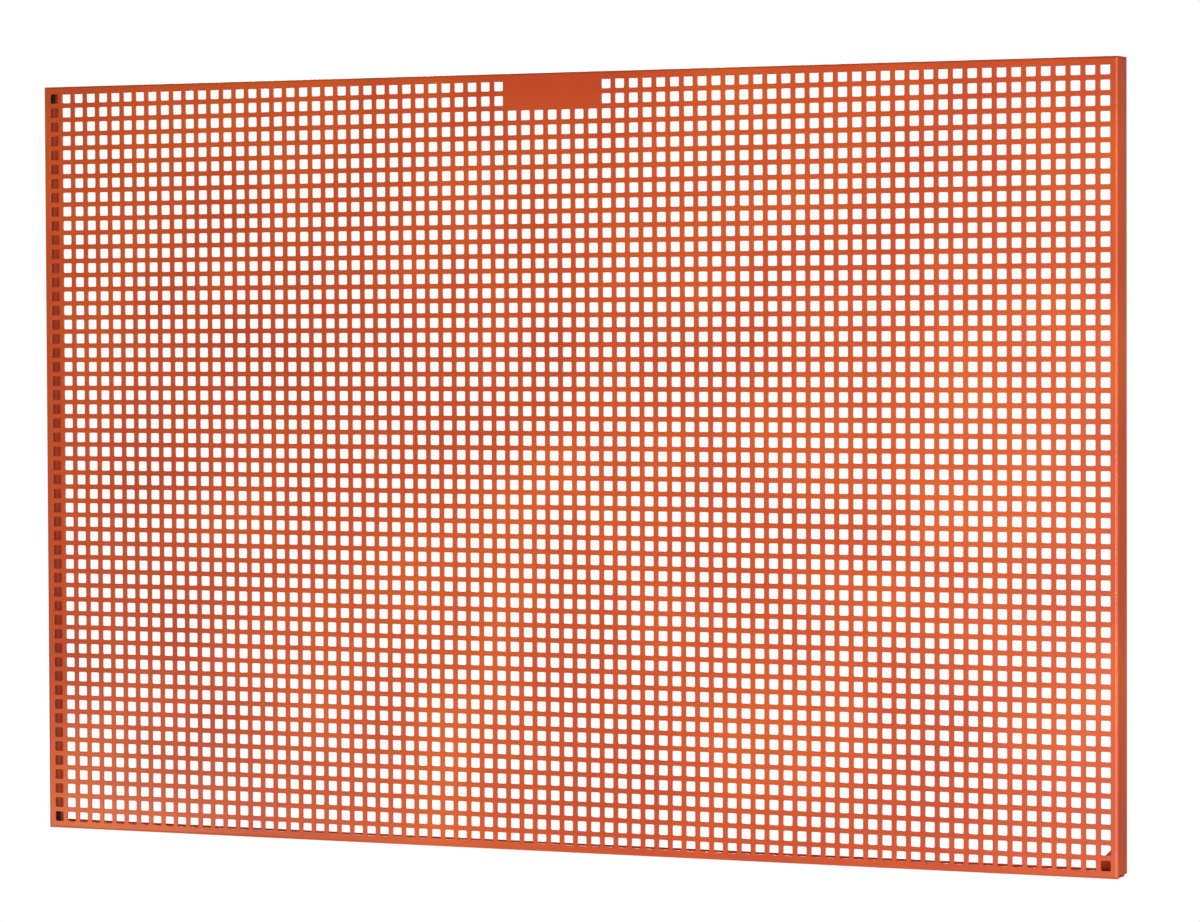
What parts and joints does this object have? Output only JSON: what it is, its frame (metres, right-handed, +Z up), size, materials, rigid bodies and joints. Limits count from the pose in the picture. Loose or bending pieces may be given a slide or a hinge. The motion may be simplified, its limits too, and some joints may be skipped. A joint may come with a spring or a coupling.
{
  "type": "perforated tool panel",
  "caption": "Folded perforated steel wall panel with a square hook-hole grid, a plain patch at the top, return lips, a corner gusset and rubber corner pads.",
  "frame": {"origin": "middle of the panel's width and height, on the wall plane that the return lips rest against", "axes": "+X to the right, +Y into the wall, +Z up; the face looks along -Y"},
  "size_m": [1.195, 0.03, 0.79],
  "materials": {
    "powder_coat": "semi-gloss orange-red powder coat",
    "rubber": "matt black rubber"
  },
  "bodies": {
    "root": {"face_front_layer": "powder_coat", "face_rear_layer": "powder_coat", "top_edge": "powder_coat", "bottom_edge": "powder_coat", "left_edge": "powder_coat", "right_edge": "powder_coat", "corner_gusset": "powder_coat", "pad_top_left": "rubber", "pad_top_right": "rubber", "pad_bottom_left": "rubber", "pad_bottom_right": "rubber"}
  },
  "joints": []
}
